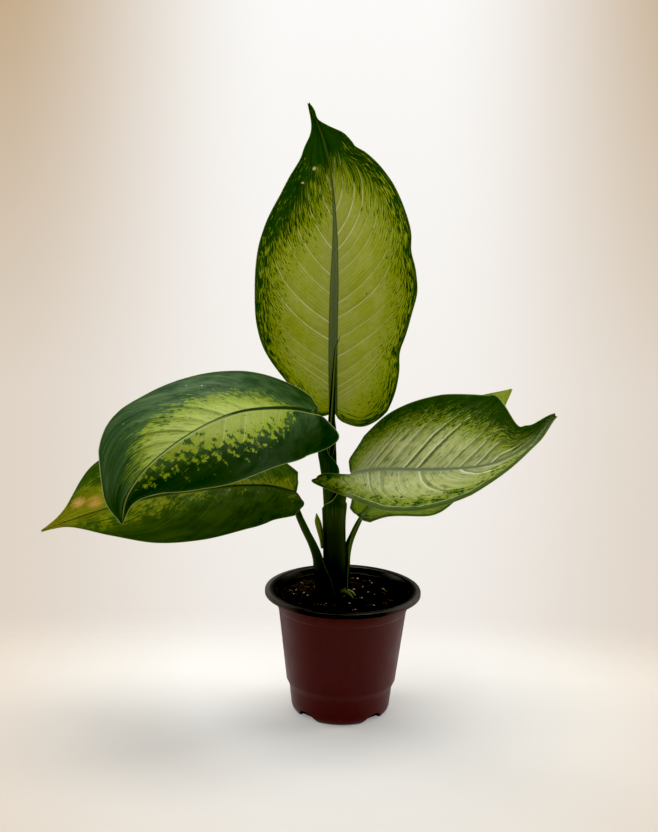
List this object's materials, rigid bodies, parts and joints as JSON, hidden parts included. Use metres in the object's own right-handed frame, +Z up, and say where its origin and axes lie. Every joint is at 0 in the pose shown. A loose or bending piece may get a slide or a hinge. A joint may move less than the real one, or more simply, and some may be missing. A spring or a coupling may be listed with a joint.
{
  "type": "potted dumb cane",
  "caption": "Young dumb cane with broad variegated leaves on an upright stem, growing in a small tapered nursery pot of peat mix.",
  "frame": {"origin": "middle of the pot's flat underside, on the surface it rests on", "axes": "+Z up through the pot; +X to the right and -Y towards the viewer in the pictured view"},
  "size_m": [0.3687, 0.2293, 0.4643],
  "materials": {
    "burgundy_plastic": "satin",
    "peat_mix": "matte",
    "cane_bark": "satin",
    "rolled_leaf": "satin",
    "side_shoot": "satin",
    "leaf_top_green": "satin",
    "leaf_upper_left_green": "satin",
    "leaf_lower_left_green": "satin",
    "leaf_upper_right_green": "satin",
    "leaf_lower_right_green": "satin"
  },
  "bodies": {
    "root": {"pot": "burgundy_plastic", "potting_mix": "peat_mix", "cane": "cane_bark", "rolled_leaf": "rolled_leaf", "side_shoot": "side_shoot", "leaf_top": "leaf_top_green", "leaf_upper_left": "leaf_upper_left_green", "leaf_lower_left": "leaf_lower_left_green", "leaf_upper_right": "leaf_upper_right_green", "leaf_lower_right": "leaf_lower_right_green"}
  },
  "joints": []
}
